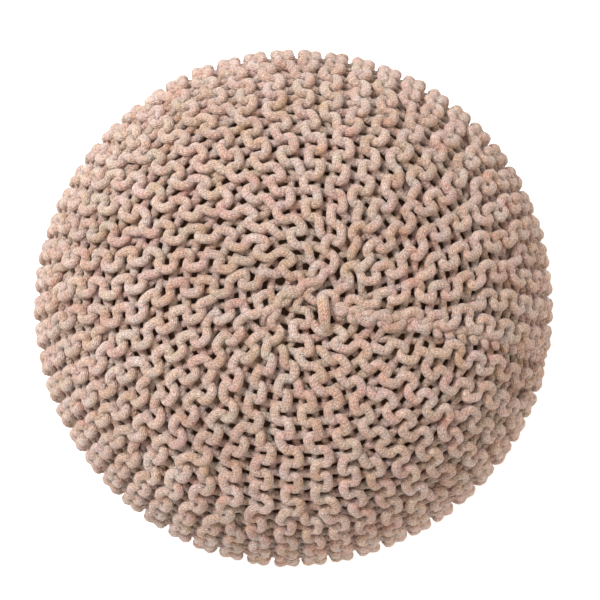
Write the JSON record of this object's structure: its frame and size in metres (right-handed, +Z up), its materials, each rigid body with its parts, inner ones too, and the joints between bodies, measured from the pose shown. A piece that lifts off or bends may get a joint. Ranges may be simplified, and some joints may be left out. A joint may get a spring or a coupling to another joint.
{
  "type": "knitted pouf footstool",
  "caption": "Low round pouf footstool knitted in fat beige cotton cord, in garter ribs that fan from a gathered top over bulging sides.",
  "frame": {"origin": "centre of the flat underside, on the surface that the footstool stands on", "axes": "+Z up through the gathered top, the footstool's shortest extent; +X towards the cover's sewn seam, +Y away from the side that the picture is taken from"},
  "size_m": [0.5184, 0.517, 0.3529],
  "materials": {
    "cotton_knit": "matte beige-pink braided cotton cord, knitted",
    "cotton_cord": "matte beige-pink braided cotton cord"
  },
  "bodies": {
    "root": {"knitted_cover": "cotton_knit", "closing_cord": "cotton_cord"}
  },
  "joints": []
}
